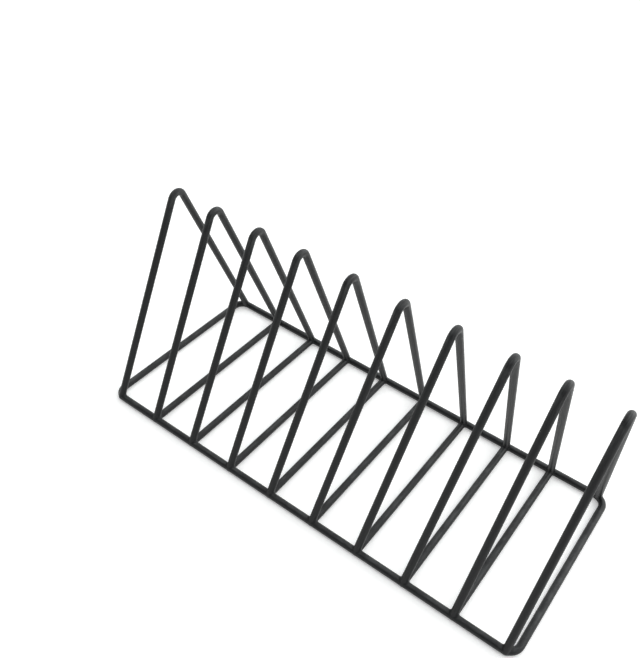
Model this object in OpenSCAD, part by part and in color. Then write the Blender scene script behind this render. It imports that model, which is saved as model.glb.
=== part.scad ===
// Wire rack for 7-inch single records: inverted-V dividers on a flat loop of coated steel wire.
// Lengths are in millimetres. The origin is on the table, under the middle of the rack.
// +X runs along the row of dividers, +Y to the rear and +Z up.

/* [Wire] */
// Diameter of every wire, with its coating
wire_d = 4; // [3:0.1:5]

/* [Dividers] */
// Number of inverted-V dividers
divider_count = 10; // [3:1:20]
// Distance from one divider to the next
divider_pitch = 28; // [18:0.5:40]
// Height of an upright divider's top above the table
rack_h = 116; // [90:1:150]
// Radius inside the bend at the top of a divider
apex_inner_r = 2.4; // [0.5:0.1:8]
// How much of the uneven lean of hand-bent dividers is shown: 0 stands them all upright
unevenness = 1; // [0:0.1:1.5]

/* [Base] */
// Distance between the two long rails, along the middle of the wires
rail_spacing = 112.5; // [90:0.5:150]
// Space between an end divider and the end bar beyond it
end_clear = 0.4; // [0.2:0.1:16]
// Radius inside the bend at each corner
corner_inner_r = 4.6; // [2:0.1:7]

/* [Welds] */
// How far a weld bead spreads beyond the leg where it meets the rail
weld_spread = 0.9; // [0.4:0.1:1.5]
// How far a weld bead climbs a divider's leg above the rail
weld_climb = 2.2; // [1:0.1:4]
// Thickness of a weld bead at its upper edge
weld_edge = 0.16; // [0.12:0.02:0.3]
// Hairline left round each welded seat, so that the pieces stay separate
seat_gap = 0.05; // [0.02:0.01:0.08]

/* [Hidden] */
$fn = 64;
coat_colour = "#2b2b2d";
bead_colour = "#333335";

// How far the top of each divider leans to the right, from the left end; any further ones are upright
top_lean = [0, -1, -0.5, -0.5, 1.5, 2.5, 2.5, 3, 0, -1];

// Wires and loop
wire_r = wire_d / 2;
cut_r = wire_r + seat_gap;
// A cross wire's notch for a foot is a little wider than its hollow for the rail, so the two cuts never coincide
notch_r = cut_r + seat_gap;
rail_y = rail_spacing / 2;
rail_z = wire_r;
divider_row = (divider_count - 1) * divider_pitch;
// The end bars run just clear of the end dividers, whose feet stand on the first few degrees of the bends
end_bar_x = divider_row / 2 + wire_d + end_clear;
corner_bend_r = corner_inner_r + wire_r;
rail_half = end_bar_x - corner_bend_r;
bar_half = rail_y - corner_bend_r;

// Divider. Each leg starts on the rail's axis, leans in by leg_lean degrees and ends tangent to the top bend.
apex_bend_r = apex_inner_r + wire_r;
bend_rise = rack_h - wire_r - apex_bend_r - rail_z;
centre_to_foot = norm([rail_y, bend_rise]);
leg_lean = atan(rail_y / bend_rise) - asin(apex_bend_r / centre_to_foot);
leg_len = sqrt(centre_to_foot * centre_to_foot - apex_bend_r * apex_bend_r);

// Weld bead
bead_r = wire_r + weld_spread;
bead_h = wire_r + weld_climb;

// Place of a divider along the row, counted from the left end
function divider_x(i) = (i - 1) * divider_pitch - divider_row / 2;

// A divider's lean along the row, in degrees from upright
function row_lean(i) = i > len(top_lean) ? 0 : asin(unevenness * top_lean[i - 1] / rack_h);

// True for a divider with a cross wire under it: all but the two at the ends
function has_cross_wire(i) = i > 1 && i < divider_count;

// A straight round wire that lies along X
module wire_along_x(length, r) {
    rotate([0, 90, 0])
        cylinder(h = length, r = r, center = true);
}

// A straight round wire that lies along Y
module wire_along_y(length, r) {
    rotate([90, 0, 0])
        cylinder(h = length, r = r, center = true);
}

// A quarter bend of round wire round the origin, in the XY plane, from the +X axis to the +Y axis
module quarter_bend(bend_r, r) {
    rotate_extrude(angle = 90)
        translate([bend_r, 0])
            circle(r = r);
}

// The closed loop. At cut_r it is the cutter for what seats on it.
module loop_run(r) {
    translate([0, 0, rail_z]) {
        for (side = [-1, 1]) {
            translate([0, side * rail_y, 0])
                wire_along_x(2 * rail_half, r);
            translate([side * end_bar_x, 0, 0])
                wire_along_y(2 * bar_half, r);
        }
        for (turn = [0, 180], side = [-1, 1])
            rotate([0, 0, turn])
                translate([rail_half, side * bar_half, 0])
                    rotate([0, 0, side > 0 ? 0 : -90])
                        quarter_bend(corner_bend_r, r);
    }
}

// A cross wire's whole length, from the axis of one rail to the axis of the other
module cross_run(i, r) {
    translate([divider_x(i), 0, rail_z])
        wire_along_y(rail_spacing, r);
}

// Moves its children from the foot line of an upright divider at the middle of the row to divider i
module at_divider(i) {
    translate([divider_x(i), 0, rail_z])
        rotate([0, row_lean(i), 0])
            children();
}

// Puts its children on a leg: +Z runs up the leg from the rail's axis, at the front (-1) or rear (1)
module on_leg(i, side) {
    at_divider(i)
        translate([0, side * rail_y, 0])
            rotate([side * leg_lean, 0, 0])
                children();
}

// One leg and half of the top bend, drawn from the bend's centre and cut off at the middle of the divider
module half_divider_run(r) {
    intersection() {
        translate([0, 0, bend_rise])
            rotate([90, 0, 90])
                rotate([0, 0, leg_lean]) {
                    quarter_bend(apex_bend_r, r);
                    translate([apex_bend_r, 0, 0])
                        rotate([90, 0, 0])
                            cylinder(h = leg_len, r = r);
                }
        translate([-wire_d, 0, -wire_d])
            cube([2 * wire_d, rail_spacing, rack_h + wire_d]);
    }
}

// A divider's whole wire, before its feet are cut to seat
module divider_run(i, r) {
    at_divider(i) {
        half_divider_run(r);
        mirror([0, 1, 0])
            half_divider_run(r);
    }
}

module base_frame() {
    color(coat_colour)
        loop_run(wire_r);
}

// The feet are saddle cut to sit astride the round rails
module divider(i) {
    color(coat_colour)
        difference() {
            divider_run(i, wire_r);
            loop_run(cut_r);
        }
}

// The ends are hollowed to fit the rails and notched to clear the feet that stand over them
module cross_wire(i) {
    color(coat_colour)
        difference() {
            cross_run(i, wire_r);
            loop_run(cut_r);
            for (side = [-1, 1])
                on_leg(i, side)
                    cylinder(h = leg_len, r = notch_r);
        }
}

// The bead round one foot before it is cut to seat: a cone round the leg. Outside it is flush with the leg,
// inside it fills the corner, and it ends at the height of the rail's axis.
module weld_cone(i, side) {
    intersection() {
        on_leg(i, side)
            intersection() {
                cylinder(h = bead_h, r1 = bead_r, r2 = wire_r + weld_edge);
                translate([-bead_r, side > 0 ? -bead_r : -wire_r, 0])
                    cube([2 * bead_r, bead_r + wire_r, bead_h]);
            }
        translate([divider_x(i) - 2 * bead_r, side * rail_y - 2 * bead_r, rail_z])
            cube([4 * bead_r, 4 * bead_r, bead_h]);
    }
}

// The cone seated on the rail, the leg and the cross wire
module weld_bead(i, side) {
    difference() {
        weld_cone(i, side);
        loop_run(cut_r);
        on_leg(i, side)
            cylinder(h = leg_len, r = cut_r);
        if (has_cross_wire(i))
            cross_run(i, cut_r);
    }
}

module welds(side) {
    color(bead_colour)
        for (i = [1 : divider_count])
            weld_bead(i, side);
}

base_frame();
for (i = [1 : divider_count])
    divider(i);
for (i = [1 : divider_count - 2])
    cross_wire(i + 1);
welds(-1);  // front_welds
welds(1);  // rear_welds
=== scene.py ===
import math

import bpy
import numpy as np
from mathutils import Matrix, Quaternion, Vector


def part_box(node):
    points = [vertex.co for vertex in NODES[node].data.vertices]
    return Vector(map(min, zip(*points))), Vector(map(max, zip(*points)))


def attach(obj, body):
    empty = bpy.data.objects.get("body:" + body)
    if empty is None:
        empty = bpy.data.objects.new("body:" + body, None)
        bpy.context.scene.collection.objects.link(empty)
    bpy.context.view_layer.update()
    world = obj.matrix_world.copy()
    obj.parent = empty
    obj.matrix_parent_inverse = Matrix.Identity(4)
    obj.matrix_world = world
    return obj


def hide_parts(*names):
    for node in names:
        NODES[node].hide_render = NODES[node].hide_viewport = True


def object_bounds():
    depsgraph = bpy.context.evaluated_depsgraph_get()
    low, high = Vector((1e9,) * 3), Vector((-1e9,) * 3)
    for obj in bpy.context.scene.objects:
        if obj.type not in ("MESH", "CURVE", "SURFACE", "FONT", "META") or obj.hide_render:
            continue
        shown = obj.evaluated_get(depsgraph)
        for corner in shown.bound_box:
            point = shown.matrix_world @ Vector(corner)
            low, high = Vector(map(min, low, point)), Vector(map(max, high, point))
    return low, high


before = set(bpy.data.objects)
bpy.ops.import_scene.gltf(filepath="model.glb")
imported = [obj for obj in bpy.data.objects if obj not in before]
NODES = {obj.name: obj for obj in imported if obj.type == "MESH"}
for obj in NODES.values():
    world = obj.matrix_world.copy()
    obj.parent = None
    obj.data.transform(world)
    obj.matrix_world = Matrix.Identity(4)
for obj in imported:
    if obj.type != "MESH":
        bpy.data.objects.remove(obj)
cad_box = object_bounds()

# ------------------------------------------------------------------------------------------------ Base loop
# The loop that lies on the table is one length of round steel wire, bent to a rectangle with four tight
# corners and butt welded. The whole rack is dipped in black vinyl after welding, so the coat wraps every
# wire without a break and hides the metal's own texture.

MM = 0.001

wire_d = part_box("base_frame")[1].z
wire_r = wire_d / 2
rail_y = cad_box[1].y - wire_r
end_bar_x = cad_box[1].x - wire_r


def linear(hex_colour):
    """An sRGB hex colour as a linear RGBA colour."""
    parts = [int(hex_colour[i:i + 2], 16) / 255 for i in (1, 3, 5)]
    return [c / 12.92 if c <= 0.04045 else ((c + 0.055) / 1.055) ** 2.4 for c in parts] + [1.0]


def add_node(tree, kind, settings=None, links=None):
    """Adds a shader node. Settings name its properties or sockets, and links feed its sockets."""
    node = tree.nodes.new("ShaderNode" + kind)
    for name, value in (settings or {}).items():
        if isinstance(name, int) or name in node.inputs:
            node.inputs[name].default_value = value
        else:
            setattr(node, name, value)
    for name, source in (links or {}).items():
        tree.links.new(source, node.inputs[name])
    return node


def new_material(name):
    """An empty material with its tree and its output node."""
    material = bpy.data.materials.new(name)
    material.use_nodes = True
    material.node_tree.nodes.clear()
    return material, material.node_tree, add_node(material.node_tree, "OutputMaterial")


def put_on(piece, material):
    """Gives a piece one material all over."""
    piece.data.materials.clear()
    piece.data.materials.append(material)


# Vinyl dip coating: a soft, even black with a satin sheen. Its skin flows out smooth as it cures and keeps
# only a shallow ripple, finer grain and greyer, slightly shinier streaks on the wires' crowns: partly
# rubbing wear where sleeves and fingers rub, partly a painted highlight where the light falls on the tops.
vinyl_black = "#0a0b0c"
vinyl_faded = "#151718"
# lighter grey of the crowns' streaks: rubbing wear and painted highlight
vinyl_rubbed_and_sheen = "#333535"
vinyl_ior = 1.42            # plain PVC has about 1.53, and a satin skin throws back a little less
fresh_roughness = 0.44
faded_roughness = 0.52
rub_polish = 0.12           # how much smoother a rubbed streak is
ripple_size = 7 * MM        # slow waves that the coat sets in as it runs down the wire
ripple_depth = 0.05 * MM
grain_size = 0.9 * MM       # orange peel, drawn about twice as coarse as it is so that it shows
grain_depth = 0.006 * MM
cloud_size = 28 * MM        # patches where the coat has faded a little
scuff_width = 0.9 * MM      # a lighter streak: rubbing wear and painted highlight
scuff_length = 8 * MM
scuff_start = 0.42          # level of the streaks' noise at which the lighter tone begins
scuff_full = 0.66           # and at which it is complete

# A Mix node's colour sockets share their names with others, so they go by number
MIX_A = 6
MIX_B = 7
MIX_RESULT = 2


def dipped_vinyl(name, wear_and_sheen_from, wear_and_sheen_to, narrow):
    """The coating. Its lighter tone, rubbing wear and painted highlight, sets in from one height to another,
    in streaks narrow along one axis.
    """
    material, tree, output = new_material(name)
    place = add_node(tree, "TexCoord").outputs["Object"]
    height = add_node(tree, "SeparateXYZ", links={"Vector": place}).outputs["Z"]

    clouds = add_node(tree, "TexNoise", {"Scale": 1 / cloud_size, "Detail": 3.0}, {"Vector": place})
    streak = [1 / (scuff_width if axis == narrow else scuff_length) for axis in "XYZ"]
    drawn_out = add_node(tree, "VectorMath", {"operation": "MULTIPLY", 1: streak}, {0: place})
    scuffs = add_node(tree, "TexNoise", {"Scale": 1.0, "Detail": 4.0, "Roughness": 0.6},
                      {"Vector": drawn_out.outputs[0]})
    # wear and painted highlight: the coat grows lighter towards the top of each wire
    reach = add_node(tree, "MapRange",
                     {"From Min": wear_and_sheen_from, "From Max": wear_and_sheen_to, "interpolation_type": "SMOOTHSTEP"},
                     {"Value": height})
    patchy = add_node(tree, "MapRange", {"From Min": scuff_start, "From Max": scuff_full},
                      {"Value": scuffs.outputs["Fac"]})
    rubbed_and_sheen = add_node(tree, "Math", {"operation": "MULTIPLY"}, {0: reach.outputs[0], 1: patchy.outputs[0]})

    faded = add_node(tree, "Mix",
                     {"data_type": "RGBA", MIX_A: linear(vinyl_black), MIX_B: linear(vinyl_faded)},
                     {"Factor": clouds.outputs["Fac"]})
    worn_and_sheen = add_node(tree, "Mix", {"data_type": "RGBA", MIX_B: linear(vinyl_rubbed_and_sheen)},
                    {"Factor": rubbed_and_sheen.outputs[0], MIX_A: faded.outputs[MIX_RESULT]})

    satin = add_node(tree, "MapRange", {"To Min": fresh_roughness, "To Max": faded_roughness},
                     {"Value": clouds.outputs["Fac"]})
    polish = add_node(tree, "Math", {"operation": "MULTIPLY", 1: rub_polish}, {0: rubbed_and_sheen.outputs[0]})
    roughness = add_node(tree, "Math", {"operation": "SUBTRACT"},
                         {0: satin.outputs[0], 1: polish.outputs[0]})

    ripple = add_node(tree, "TexNoise", {"Scale": 1 / ripple_size, "Detail": 1.0}, {"Vector": place})
    grain = add_node(tree, "TexNoise", {"Scale": 1 / grain_size, "Detail": 2.0}, {"Vector": place})
    waves = add_node(tree, "Bump", {"Strength": 1.0, "Distance": ripple_depth},
                     {"Height": ripple.outputs["Fac"]})
    peel = add_node(tree, "Bump", {"Strength": 1.0, "Distance": grain_depth},
                    {"Height": grain.outputs["Fac"], "Normal": waves.outputs[0]})

    shader = add_node(tree, "BsdfPrincipled", {"IOR": vinyl_ior, "Metallic": 0.0},
                      {"Base Color": worn_and_sheen.outputs[MIX_RESULT], "Roughness": roughness.outputs[0],
                       "Normal": peel.outputs[0]})
    tree.links.new(shader.outputs[0], output.inputs["Surface"])
    return material


# Sleeves stand on the crown of the two long rails and slide along them; the crown is painted lighter, partly
# for that wear and partly as a painted highlight
rail_wear_and_sheen_from = wire_d * 0.72
put_on(NODES["base_frame"], dipped_vinyl("dipped_vinyl_on_loop", rail_wear_and_sheen_from, wire_d, "Z"))

# ---------------------------------------------------------------------------------------------- Cross wires
# A straight wire runs from rail to rail under each inner divider and keeps the rails parallel. Its ends are
# butted against the rails and welded at the same heat as the divider's feet, then dipped with them.


def numbered(stem):
    """The CAD nodes called stem_1, stem_2 and so on, in that order."""
    count = sum(name.startswith(stem) for name in NODES)
    return [NODES[f"{stem}_{k + 1}"] for k in range(count)]


# Sleeves brush the crown of these wires without rubbing it through; the crown is painted a little lighter,
# partly as wear and partly as a painted highlight
cross_wear_and_sheen_from = wire_d * 0.80
cross_wear_and_sheen_to = wire_d * 1.05
cross_coat = dipped_vinyl("dipped_vinyl_on_cross_wires", cross_wear_and_sheen_from, cross_wear_and_sheen_to, "Z")
for wire in numbered("cross_wire"):
    put_on(wire, cross_coat)

# ------------------------------------------------------------------------------------------------- Dividers
# Each divider is one wire bent double over a thin mandrel, which leaves a tight round top and two straight
# legs. Hands and sleeves pass over the tops, so the coat is painted lighter round the bend, partly as that
# rubbing wear and partly as a painted highlight on the crown.

rack_top = cad_box[1].z
top_wear_and_sheen_depth = 22 * MM     # how far down a divider the lighter tone of wear and painted highlight reaches

dividers = numbered("divider")
top_coat = dipped_vinyl("dipped_vinyl_on_dividers", rack_top - top_wear_and_sheen_depth, rack_top, "X")
for divider in dividers:
    put_on(divider, top_coat)

# ---------------------------------------------------------------------------------------------------- Welds
# Where a divider's foot, a rail and a cross wire meet, the resistance weld squeezes out a small bead and the
# dip pools over it. What shows is a soft web that flows from each wire into the next with no edge.

web_radius = 1.3 * MM       # hollow radius of the web between two wires that cross squarely
web_least = 0.35 * MM       # what is left of it where two wires lie flush
web_range = (0.88, 1.15)    # share of the hollow radius that one web or another has
web_sink = 0.04 * MM        # how far the web's skin lies under a bare wire, which it comes out of smoothly
web_end = 0.005 * MM        # where the web adds no more than this it ends, hidden in the wire
web_feather = 0.2 * MM      # thickness up to which its shading passes from the bare wire's to its own
web_reach = 6.2 * MM        # half the size of the block of space that holds a web
web_raise = 2 * MM          # how far that block's middle lies above the rail's axis
web_arm = 30 * MM           # how much of each straight wire is looked at
web_step = 0.21 * MM        # spacing of the grid in that block

corner_inner_r = 4.6 * MM
top_inner_r = 2.4 * MM
pitch = (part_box("cross_wire_2")[0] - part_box("cross_wire_1")[0]).x
corner_r = corner_inner_r + wire_r
row_half = end_bar_x - corner_r
top_bend_r = top_inner_r + wire_r

# The angle at which each leg leans in, from the rail's axis to the tangent of the top bend
bend_rise = rack_top - wire_r - top_bend_r - wire_r
leg_lean = math.atan2(rail_y, bend_rise) - math.asin(top_bend_r / math.hypot(rail_y, bend_rise))

NO_LENGTH = 1e-12           # keeps a division by a length of nothing from failing


def from_loop(points):
    """Distance of points from the loop's surface, and the direction away from it."""
    flat = np.abs(points[..., :2]) - [row_half, rail_y - corner_r]
    out = np.maximum(flat, 0)
    inside = np.minimum(flat.max(-1), 0)
    side = np.linalg.norm(out, axis=-1) + inside - corner_r
    height = points[..., 2] - wire_r
    # away from the rounded rectangle in plan: along the corner's radius, or square to the nearer side
    away = np.where((inside < 0)[..., None], np.eye(2)[flat.argmax(-1)], out)
    away = away / np.maximum(np.linalg.norm(away, axis=-1, keepdims=True), NO_LENGTH)
    away = away * np.sign(points[..., :2])
    direction = np.concatenate([away * side[..., None], height[..., None]], -1)
    length = np.hypot(side, height)
    return length - wire_r, direction / np.maximum(length, NO_LENGTH)[..., None]


def from_run(points, start, along, length):
    """Distance of points from a straight wire's surface, and the direction away from it."""
    t = np.clip((points - start) @ along, 0, length)
    direction = points - start - t[..., None] * along
    reach = np.linalg.norm(direction, axis=-1)
    return reach - wire_r, direction / np.maximum(reach, NO_LENGTH)[..., None]


def webbed(first, second, radius):
    """Joins two wires with a hollow web. It fades out where their surfaces run the same way."""
    (a, way_a), (b, way_b) = first, second
    square = np.clip(1 - (way_a * way_b).sum(-1), 0, 1)
    r = web_least + (radius - web_least) * square * square * (3 - 2 * square)
    joined = np.maximum(r, np.minimum(a, b)) - np.hypot(np.maximum(r - a, 0), np.maximum(r - b, 0))
    return joined, np.where((a < b)[..., None], way_a, way_b)


def meeting_wires(points, foot, leg_way, crossed):
    """The wires that meet at a foot, each as the points' distance from it and the direction away from it."""
    wires = [from_loop(points), from_run(points, foot, leg_way, web_arm)]
    if crossed:
        inward = np.array([0, -np.sign(foot[1]), 0.0])
        wires.append(from_run(points, foot, inward, web_arm))
    return wires


def web_over(wires, radius):
    """Distance of points from the wires with their web, and how much the web adds to the bare wires."""
    web = wires[0]
    for wire in wires[1:]:
        web = webbed(web, wire, radius)
    return web[0], np.min([w[0] for w in wires], 0) - web[0]


def web_field(points, joint, radius):
    """Negative inside the web: what it adds to the bare wires, and the core of them that it runs through."""
    web, added = web_over(meeting_wires(points, *joint), radius)
    # it swells neither under the table's level nor past the outer side of the rails
    below = -points[..., 2]
    outside = np.abs(points[..., 1]) - rail_y - wire_r
    return np.maximum.reduce([web + web_sink, web_end - added, below, outside])


def unpinched(values, rounds=8):
    """Empties a grid's points where the net would touch itself along an edge, so that its skin is closed."""
    for _ in range(rounds):
        for u, v in ((0, 1), (0, 2), (1, 2)):
            # the four points of every grid square in this plane, as two pairs that face each other
            corner = []
            for du, dv in ((0, 0), (1, 1), (0, 1), (1, 0)):
                cut = [slice(None)] * 3
                cut[u] = slice(du, values.shape[u] - 1 + du)
                cut[v] = slice(dv, values.shape[v] - 1 + dv)
                corner.append(values[tuple(cut)])
            # where only one pair is inside the square is pinched, and one of that pair goes outside
            for a, b, c, d in (corner, corner[2:] + corner[:2]):
                a[(a < 0) & (b < 0) & (c >= 0) & (d >= 0)] = web_end
    return values


CELL = np.array([(i, j, k) for i in (0, 1) for j in (0, 1) for k in (0, 1)])
CELL_EDGES = [(a, b) for a in range(8) for b in range(a) if abs(CELL[a] - CELL[b]).sum() == 1]


def net_over(values, origin, step):
    """Vertices and quads of the surface where a grid of values passes zero."""
    # one vertex in each cell that the surface runs through, at the mean of where it crosses the cell's edges
    size = np.array(values.shape) - 1
    corner = [values[i:i + size[0], j:j + size[1], k:k + size[2]] for i, j, k in CELL]
    total = np.zeros(tuple(size) + (3,))
    crossings = np.zeros(size)
    for a, b in CELL_EDGES:
        crossed = (corner[a] < 0) != (corner[b] < 0)
        share = np.where(crossed, corner[a] / np.where(crossed, corner[a] - corner[b], 1), 0)
        total += crossed[..., None] * (CELL[a] + share[..., None] * (CELL[b] - CELL[a]))
        crossings += crossed
    used = crossings > 0
    number = np.full(size, -1)
    number[used] = np.arange(used.sum())
    vertices = origin + step * (np.argwhere(used) + total[used] / crossings[used][:, None])

    # one quad round each grid line that the surface crosses, between the four cells that share the line
    quads = []
    for axis in range(3):
        u, v = (axis + 1) % 3, (axis + 2) % 3
        low = [slice(1, -1)] * 3
        low[axis] = slice(0, -1)
        high = list(low)
        high[axis] = slice(1, None)
        here, there = values[tuple(low)] < 0, values[tuple(high)] < 0
        for outward in (True, False):
            cell = np.argwhere((here == outward) & (there != outward)) + 1
            cell[:, axis] -= 1
            ring = []
            for du, dv in ((0, 0), (1, 0), (1, 1), (0, 1)):
                at = cell.copy()
                at[:, u] -= du
                at[:, v] -= dv
                ring.append(number[tuple(at.T)])
            ring = np.stack(ring, -1)
            quads.append(ring if outward else ring[:, ::-1])
    return vertices, np.concatenate(quads)


def drawn_on(vertices, joint, radius, rounds=3):
    """Moves a net's vertices down the field's slope onto the web's true surface."""
    nudge = 0.01 * MM
    # where the field is nearly level, a step is no longer than this slope would ask for
    least_slope = 0.25
    for _ in range(rounds):
        value = web_field(vertices, joint, radius)
        rise = [web_field(vertices + nudge * e, joint, radius) - value for e in np.eye(3)]
        slope = np.stack(rise, -1) / nudge
        move = value / np.maximum((slope ** 2).sum(-1), least_slope)
        vertices -= np.clip(move, -web_step / 4, web_step / 4)[:, None] * slope
    vertices[:, 2] = np.maximum(vertices[:, 2], 0)
    return vertices


def weld_web(name, joint, radius):
    """Builds the web round one foot as a closed mesh."""
    along = np.arange(-web_reach, web_reach + web_step, web_step)
    grid = np.stack(np.meshgrid(along, along, along + web_raise, indexing="ij"), -1) + joint[0]
    vertices, quads = net_over(unpinched(web_field(grid, joint, radius)), grid[0, 0, 0], web_step)
    vertices = drawn_on(vertices, joint, radius)
    mesh = bpy.data.meshes.new(name)
    mesh.from_pydata(vertices.tolist(), [], quads.tolist())
    mesh.update()
    mesh.shade_smooth()

    # where it is thin it is shaded as the bare wire that it comes out of, so that no line shows there
    wires = meeting_wires(vertices, *joint)
    wire_way = np.choose(np.argmin([w[0] for w in wires], 0)[:, None], [w[1] for w in wires])
    own_way = np.array([v.normal for v in mesh.vertices])
    share = np.clip(web_over(wires, radius)[1] / web_feather, 0, 1)[:, None]
    mesh.normals_split_custom_set_from_vertices(wire_way + (own_way - wire_way) * share)

    piece = bpy.data.objects.new(name, mesh)
    bpy.context.collection.objects.link(piece)
    return piece


# The coat on the webs lies too low for the lighter tone of wear and painted highlight, so it would begin
# above the rack
web_coat = dipped_vinyl("dipped_vinyl_over_welds", rack_top, rack_top + wire_d, "Z")
uneven = np.random.default_rng(7)
for side_name, side in (("front", -1), ("rear", 1)):
    for k, divider in enumerate(dividers):
        foot = np.array([(k - (len(dividers) - 1) / 2) * pitch, side * rail_y, wire_r])
        # along the row, the middle of a divider's box lies halfway between its foot and its top
        low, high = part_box(divider.name)
        top_lean = 2 * ((low.x + high.x) / 2 - foot[0])
        row_lean = math.asin(top_lean / rack_top)
        leg_way = np.array([math.sin(row_lean) * math.cos(leg_lean), -side * math.sin(leg_lean),
                            math.cos(row_lean) * math.cos(leg_lean)])
        crossed = 0 < k < len(dividers) - 1
        radius = web_radius * uneven.uniform(*web_range)
        web = weld_web(f"{side_name}_weld_{k + 1}", (foot, leg_way, crossed), radius)
        put_on(web, web_coat)
        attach(web, "root")
        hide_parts(f"{side_name}_welds")

# ---------------------------------------------------------------------------------------------------- Table
# The rack stands on a plain pale table top. It is a flat board with a matt melamine face, wide enough to
# reach past the view on every side.

table_white = "#f4f4f2"
table_size = 30.0
table_lift = 0.30           # what brings the lit table up to white to the eye, without lighting the rack
patch_size = 40 * MM        # patches where the face is a little more or less matt
board_roughness = (0.82, 0.90)

corners = [(x * table_size / 2, y * table_size / 2, 0) for x, y in ((-1, -1), (1, -1), (1, 1), (-1, 1))]
board = bpy.data.meshes.new("table_top")
board.from_pydata(corners, [], [(0, 1, 2, 3)])
floor = bpy.data.objects.new("table_top", board)
bpy.context.collection.objects.link(floor)

# Matt melamine: near white and without gloss, so it shows the rack's soft shadow and nothing else
melamine, tree, output = new_material("matt_melamine")
place = add_node(tree, "TexCoord").outputs["Object"]
patches = add_node(tree, "TexNoise", {"Scale": 1 / patch_size}, {"Vector": place})
roughness = add_node(tree, "MapRange", {"To Min": board_roughness[0], "To Max": board_roughness[1]},
                     {"Value": patches.outputs["Fac"]})
matt = add_node(tree, "BsdfPrincipled", {"Base Color": linear(table_white)},
                {"Roughness": roughness.outputs[0]})
ray = add_node(tree, "LightPath").outputs
mirrored = add_node(tree, "Math", {"operation": "MAXIMUM"},
                    {0: ray["Is Glossy Ray"], 1: ray["Is Transmission Ray"]})
seen = add_node(tree, "Math", {"operation": "MAXIMUM"}, {0: ray["Is Camera Ray"], 1: mirrored.outputs[0]})
lift = add_node(tree, "Math", {"operation": "MULTIPLY", 1: table_lift}, {0: seen.outputs[0]})
glow = add_node(tree, "Emission", {"Color": linear("#ffffff")}, {"Strength": lift.outputs[0]})
lit = add_node(tree, "AddShader", links={0: matt.outputs[0], 1: glow.outputs[0]})
tree.links.new(lit.outputs[0], output.inputs["Surface"])
put_on(floor, melamine)

# ----------------------------------------------------------------------------------------------------- Room
# The room has pale walls. Above them it is bright overhead and behind the rack and dim in front of it, as a
# room with one large window is. Two soft lamps stand for the window's pane and the ceiling.

room_colour = "#f6f8fa"
room_dim = 0.04
room_bright = 1.6
window_way = Vector((0.24, 0.73, 0.64)).normalized()
dim_at = -0.35              # cosine of the angle from the window at which the room is dimmest
bright_at = 0.95            # and at which it is brightest
wall_pale = 0.7             # a pale wall all round, up to a low height
wall_full = 0.20            # sine of the angle above the table up to which it is plain
wall_top = 0.32             # and at which it has faded out

world = bpy.data.worlds.new("soft_room")
bpy.context.scene.world = world
world.use_nodes = True
room = world.node_tree
room.nodes.clear()
way = add_node(room, "TexCoord").outputs["Generated"]
facing = add_node(room, "VectorMath", {"operation": "DOT_PRODUCT", 1: window_way}, {0: way})
daylight = add_node(room, "MapRange", {"interpolation_type": "SMOOTHSTEP", "From Min": dim_at,
                                       "From Max": bright_at, "To Min": room_dim, "To Max": room_bright},
                    {"Value": facing.outputs["Value"]})
rise = add_node(room, "SeparateXYZ", links={"Vector": way}).outputs["Z"]
wall = add_node(room, "MapRange", {"interpolation_type": "SMOOTHSTEP", "From Min": wall_full,
                                   "From Max": wall_top, "To Min": wall_pale, "To Max": 0.0},
                {"Value": rise})
brightest = add_node(room, "Math", {"operation": "MAXIMUM"}, {0: daylight.outputs[0], 1: wall.outputs[0]})
air = add_node(room, "Background", {"Color": linear(room_colour)}, {"Strength": brightest.outputs[0]})
add_node(room, "OutputWorld", links={"Surface": air.outputs[0]})


def soft_light(name, place, size, watts, colour):
    """A square soft light that hangs at a place and faces the middle of the rack's base."""
    lamp = bpy.data.lights.new(name, "AREA")
    lamp.shape = "SQUARE"
    lamp.size = size
    lamp.energy = watts
    lamp.color = linear(colour)[:3]
    holder = bpy.data.objects.new(name, lamp)
    holder.location = place
    holder.rotation_euler = (-Vector(place)).to_track_quat("-Z", "Y").to_euler()
    bpy.context.collection.objects.link(holder)


soft_light("window_light", place=(0.9, 1.2, 0.9), size=1.3, watts=5.0, colour="#fffdf8")
soft_light("ceiling_light", place=(-0.5, -0.3, 1.4), size=0.9, watts=1.5, colour="#ffffff")

# --------------------------------------------------------------------------------------------------- Camera
# The camera stands at the rack's front right corner and looks down on it. Its place, aim, roll and lens are
# those at which the straight wires fall on the photograph's.

camera_at = Vector((137.85, -251.31, 337.36)) * MM
camera_aim = Vector((-31.52, 5.26, 40.0)) * MM
camera_roll = math.radians(4.718)
camera_length = 42.197      # focal length in millimetres, for a sensor that is 36 mm wide
sensor_width = 36
camera_shift = (0.00534, 0.05706)

lens = bpy.data.cameras.new("photo_camera")
lens.sensor_width = sensor_width
lens.lens = camera_length
lens.shift_x, lens.shift_y = camera_shift
lens.dof.use_dof = False
camera = bpy.data.objects.new("photo_camera", lens)
camera.location = camera_at
camera.rotation_mode = "QUATERNION"
aimed = (camera_aim - camera_at).to_track_quat("-Z", "Y")
camera.rotation_quaternion = aimed @ Quaternion((0, 0, 1), camera_roll)
bpy.context.collection.objects.link(camera)
bpy.context.scene.camera = camera
bpy.context.scene.view_settings.view_transform = "Standard"
